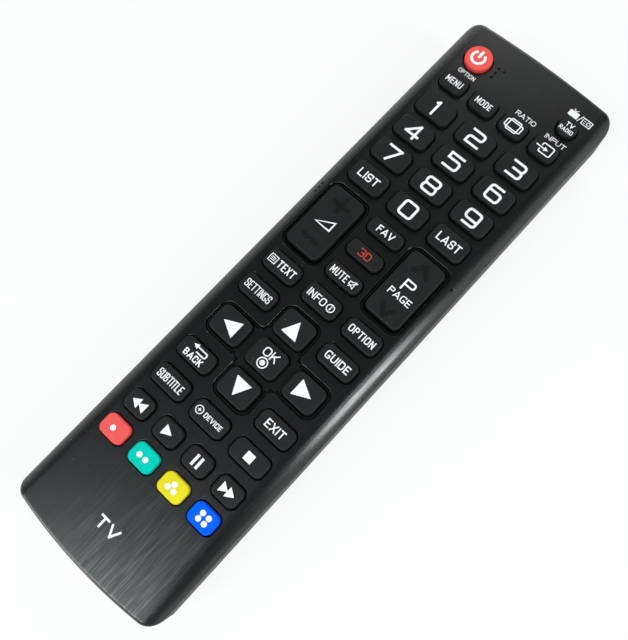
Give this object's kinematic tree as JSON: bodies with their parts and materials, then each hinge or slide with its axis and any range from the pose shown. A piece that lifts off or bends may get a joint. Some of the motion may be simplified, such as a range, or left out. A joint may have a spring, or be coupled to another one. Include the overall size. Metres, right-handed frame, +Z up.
{
  "type": "television remote control",
  "caption": "Slim handheld infrared remote control with rows of rubber keys, two rockers, a direction pad and a sliding battery cover.",
  "frame": {"origin": "middle of the underside, where the remote rests on a table", "axes": "+Z up out of the key face, +Y along the length towards the infrared end, +X to the right across the face"},
  "size_m": [0.0502, 0.181, 0.021],
  "materials": {
    "face_plastic": "satin with fine hairlines along the length",
    "rear_plastic": "fine matte texture",
    "key_rubber": "matte",
    "power_rubber": "matte",
    "red_rubber": "matte",
    "green_rubber": "matte",
    "yellow_rubber": "matte",
    "blue_rubber": "matte",
    "sheet_rubber": "matte",
    "board": "lacquered glass-fibre board",
    "chip": "moulded",
    "board_part": "drawn cans and bodies",
    "lamp_plastic": "clear moulding with a faint violet tint",
    "cell_can": "printed sleeve over a steel can",
    "contact_steel": "nickel plated",
    "spring_steel": "nickel plated"
  },
  "bodies": {
    "housing": {"front_case": "face_plastic", "rear_case": "rear_plastic", "keypad_sheet": "sheet_rubber", "circuit_board": "board", "controller_chip": "chip", "board_parts": "board_part", "infrared_lamp": "lamp_plastic", "battery_cells": "cell_can", "battery_contacts": "contact_steel", "battery_springs": "spring_steel"},
    "battery_cover": {"battery_cover": "rear_plastic"},
    "key_power": {"key_power": "power_rubber"},
    "key_tv_radio": {"key_tv_radio": "key_rubber"},
    "key_menu": {"key_menu": "key_rubber"},
    "key_mode": {"key_mode": "key_rubber"},
    "key_ratio": {"key_ratio": "key_rubber"},
    "key_input": {"key_input": "key_rubber"},
    "key_1": {"key_1": "key_rubber"},
    "key_2": {"key_2": "key_rubber"},
    "key_3": {"key_3": "key_rubber"},
    "key_4": {"key_4": "key_rubber"},
    "key_5": {"key_5": "key_rubber"},
    "key_6": {"key_6": "key_rubber"},
    "key_7": {"key_7": "key_rubber"},
    "key_8": {"key_8": "key_rubber"},
    "key_9": {"key_9": "key_rubber"},
    "key_list": {"key_list": "key_rubber"},
    "key_0": {"key_0": "key_rubber"},
    "key_last": {"key_last": "key_rubber"},
    "key_favourite": {"key_favourite": "key_rubber"},
    "key_3d": {"key_3d": "key_rubber"},
    "key_mute": {"key_mute": "key_rubber"},
    "key_text": {"key_text": "key_rubber"},
    "key_info": {"key_info": "key_rubber"},
    "key_options": {"key_options": "key_rubber"},
    "key_settings": {"key_settings": "key_rubber"},
    "key_guide": {"key_guide": "key_rubber"},
    "key_back": {"key_back": "key_rubber"},
    "key_exit": {"key_exit": "key_rubber"},
    "key_subtitle": {"key_subtitle": "key_rubber"},
    "key_device": {"key_device": "key_rubber"},
    "key_stop": {"key_stop": "key_rubber"},
    "key_rewind": {"key_rewind": "key_rubber"},
    "key_play": {"key_play": "key_rubber"},
    "key_pause": {"key_pause": "key_rubber"},
    "key_forward": {"key_forward": "key_rubber"},
    "key_red": {"key_red": "red_rubber"},
    "key_green": {"key_green": "green_rubber"},
    "key_yellow": {"key_yellow": "yellow_rubber"},
    "key_blue": {"key_blue": "blue_rubber"},
    "key_up": {"key_up": "key_rubber"},
    "key_left": {"key_left": "key_rubber"},
    "key_ok": {"key_ok": "key_rubber"},
    "key_right": {"key_right": "key_rubber"},
    "key_down": {"key_down": "key_rubber"},
    "rocker_volume": {"rocker_volume": "key_rubber"},
    "rocker_page": {"rocker_page": "key_rubber"}
  },
  "joints": [
    {"name": "battery_cover_slide", "type": "slide", "parent": "housing", "child": "battery_cover", "axis": [0, -1, 0], "range_m": [0, 0.088]},
    {"name": "key_power_press", "type": "slide", "parent": "housing", "child": "key_power", "axis": [0, 0, -1], "range_m": [0, 0.0009], "stiffness_N_per_m": 1250},
    {"name": "key_tv_radio_press", "type": "slide", "parent": "housing", "child": "key_tv_radio", "axis": [0, 0, -1], "range_m": [0, 0.0009], "stiffness_N_per_m": 1250},
    {"name": "key_menu_press", "type": "slide", "parent": "housing", "child": "key_menu", "axis": [0, 0, -1], "range_m": [0, 0.0009], "stiffness_N_per_m": 1250},
    {"name": "key_mode_press", "type": "slide", "parent": "housing", "child": "key_mode", "axis": [0, 0, -1], "range_m": [0, 0.0009], "stiffness_N_per_m": 1250},
    {"name": "key_ratio_press", "type": "slide", "parent": "housing", "child": "key_ratio", "axis": [0, 0, -1], "range_m": [0, 0.0009], "stiffness_N_per_m": 1250},
    {"name": "key_input_press", "type": "slide", "parent": "housing", "child": "key_input", "axis": [0, 0, -1], "range_m": [0, 0.0009], "stiffness_N_per_m": 1250},
    {"name": "key_1_press", "type": "slide", "parent": "housing", "child": "key_1", "axis": [0, 0, -1], "range_m": [0, 0.0009], "stiffness_N_per_m": 1250},
    {"name": "key_2_press", "type": "slide", "parent": "housing", "child": "key_2", "axis": [0, 0, -1], "range_m": [0, 0.0009], "stiffness_N_per_m": 1250},
    {"name": "key_3_press", "type": "slide", "parent": "housing", "child": "key_3", "axis": [0, 0, -1], "range_m": [0, 0.0009], "stiffness_N_per_m": 1250},
    {"name": "key_4_press", "type": "slide", "parent": "housing", "child": "key_4", "axis": [0, 0, -1], "range_m": [0, 0.0009], "stiffness_N_per_m": 1250},
    {"name": "key_5_press", "type": "slide", "parent": "housing", "child": "key_5", "axis": [0, 0, -1], "range_m": [0, 0.0009], "stiffness_N_per_m": 1250},
    {"name": "key_6_press", "type": "slide", "parent": "housing", "child": "key_6", "axis": [0, 0, -1], "range_m": [0, 0.0009], "stiffness_N_per_m": 1250},
    {"name": "key_7_press", "type": "slide", "parent": "housing", "child": "key_7", "axis": [0, 0, -1], "range_m": [0, 0.0009], "stiffness_N_per_m": 1250},
    {"name": "key_8_press", "type": "slide", "parent": "housing", "child": "key_8", "axis": [0, 0, -1], "range_m": [0, 0.0009], "stiffness_N_per_m": 1250},
    {"name": "key_9_press", "type": "slide", "parent": "housing", "child": "key_9", "axis": [0, 0, -1], "range_m": [0, 0.0009], "stiffness_N_per_m": 1250},
    {"name": "key_list_press", "type": "slide", "parent": "housing", "child": "key_list", "axis": [0, 0, -1], "range_m": [0, 0.0009], "stiffness_N_per_m": 1250},
    {"name": "key_0_press", "type": "slide", "parent": "housing", "child": "key_0", "axis": [0, 0, -1], "range_m": [0, 0.0009], "stiffness_N_per_m": 1250},
    {"name": "key_last_press", "type": "slide", "parent": "housing", "child": "key_last", "axis": [0, 0, -1], "range_m": [0, 0.0009], "stiffness_N_per_m": 1250},
    {"name": "key_favourite_press", "type": "slide", "parent": "housing", "child": "key_favourite", "axis": [0, 0, -1], "range_m": [0, 0.0009], "stiffness_N_per_m": 1250},
    {"name": "key_3d_press", "type": "slide", "parent": "housing", "child": "key_3d", "axis": [0, 0, -1], "range_m": [0, 0.0009], "stiffness_N_per_m": 1250},
    {"name": "key_mute_press", "type": "slide", "parent": "housing", "child": "key_mute", "axis": [0, 0, -1], "range_m": [0, 0.0009], "stiffness_N_per_m": 1250},
    {"name": "key_text_press", "type": "slide", "parent": "housing", "child": "key_text", "axis": [0, 0, -1], "range_m": [0, 0.0009], "stiffness_N_per_m": 1250},
    {"name": "key_info_press", "type": "slide", "parent": "housing", "child": "key_info", "axis": [0, 0, -1], "range_m": [0, 0.0009], "stiffness_N_per_m": 1250},
    {"name": "key_options_press", "type": "slide", "parent": "housing", "child": "key_options", "axis": [0, 0, -1], "range_m": [0, 0.0009], "stiffness_N_per_m": 1250},
    {"name": "key_settings_press", "type": "slide", "parent": "housing", "child": "key_settings", "axis": [0, 0, -1], "range_m": [0, 0.0009], "stiffness_N_per_m": 1250},
    {"name": "key_guide_press", "type": "slide", "parent": "housing", "child": "key_guide", "axis": [0, 0, -1], "range_m": [0, 0.0009], "stiffness_N_per_m": 1250},
    {"name": "key_back_press", "type": "slide", "parent": "housing", "child": "key_back", "axis": [0, 0, -1], "range_m": [0, 0.0009], "stiffness_N_per_m": 1250},
    {"name": "key_exit_press", "type": "slide", "parent": "housing", "child": "key_exit", "axis": [0, 0, -1], "range_m": [0, 0.0009], "stiffness_N_per_m": 1250},
    {"name": "key_subtitle_press", "type": "slide", "parent": "housing", "child": "key_subtitle", "axis": [0, 0, -1], "range_m": [0, 0.0009], "stiffness_N_per_m": 1250},
    {"name": "key_device_press", "type": "slide", "parent": "housing", "child": "key_device", "axis": [0, 0, -1], "range_m": [0, 0.0009], "stiffness_N_per_m": 1250},
    {"name": "key_stop_press", "type": "slide", "parent": "housing", "child": "key_stop", "axis": [0, 0, -1], "range_m": [0, 0.0009], "stiffness_N_per_m": 1250},
    {"name": "key_rewind_press", "type": "slide", "parent": "housing", "child": "key_rewind", "axis": [0, 0, -1], "range_m": [0, 0.0009], "stiffness_N_per_m": 1250},
    {"name": "key_play_press", "type": "slide", "parent": "housing", "child": "key_play", "axis": [0, 0, -1], "range_m": [0, 0.0009], "stiffness_N_per_m": 1250},
    {"name": "key_pause_press", "type": "slide", "parent": "housing", "child": "key_pause", "axis": [0, 0, -1], "range_m": [0, 0.0009], "stiffness_N_per_m": 1250},
    {"name": "key_forward_press", "type": "slide", "parent": "housing", "child": "key_forward", "axis": [0, 0, -1], "range_m": [0, 0.0009], "stiffness_N_per_m": 1250},
    {"name": "key_red_press", "type": "slide", "parent": "housing", "child": "key_red", "axis": [0, 0, -1], "range_m": [0, 0.0009], "stiffness_N_per_m": 1250},
    {"name": "key_green_press", "type": "slide", "parent": "housing", "child": "key_green", "axis": [0, 0, -1], "range_m": [0, 0.0009], "stiffness_N_per_m": 1250},
    {"name": "key_yellow_press", "type": "slide", "parent": "housing", "child": "key_yellow", "axis": [0, 0, -1], "range_m": [0, 0.0009], "stiffness_N_per_m": 1250},
    {"name": "key_blue_press", "type": "slide", "parent": "housing", "child": "key_blue", "axis": [0, 0, -1], "range_m": [0, 0.0009], "stiffness_N_per_m": 1250},
    {"name": "key_up_press", "type": "slide", "parent": "housing", "child": "key_up", "axis": [0, 0, -1], "range_m": [0, 0.0009], "stiffness_N_per_m": 1250},
    {"name": "key_left_press", "type": "slide", "parent": "housing", "child": "key_left", "axis": [0, 0, -1], "range_m": [0, 0.0009], "stiffness_N_per_m": 1250},
    {"name": "key_ok_press", "type": "slide", "parent": "housing", "child": "key_ok", "axis": [0, 0, -1], "range_m": [0, 0.0009], "stiffness_N_per_m": 1250},
    {"name": "key_right_press", "type": "slide", "parent": "housing", "child": "key_right", "axis": [0, 0, -1], "range_m": [0, 0.0009], "stiffness_N_per_m": 1250},
    {"name": "key_down_press", "type": "slide", "parent": "housing", "child": "key_down", "axis": [0, 0, -1], "range_m": [0, 0.0009], "stiffness_N_per_m": 1250},
    {"name": "rocker_volume_tilt", "type": "hinge", "parent": "housing", "child": "rocker_volume", "pos_m": [-0.014, 0.01454, 0.0167], "axis": [1, 0, 0], "range_deg": [-4.5, 4.5], "stiffness_Nm_per_rad": 0.14},
    {"name": "rocker_page_tilt", "type": "hinge", "parent": "housing", "child": "rocker_page", "pos_m": [0.014, 0.01454, 0.0167], "axis": [1, 0, 0], "range_deg": [-4.5, 4.5], "stiffness_Nm_per_rad": 0.14}
  ]
}
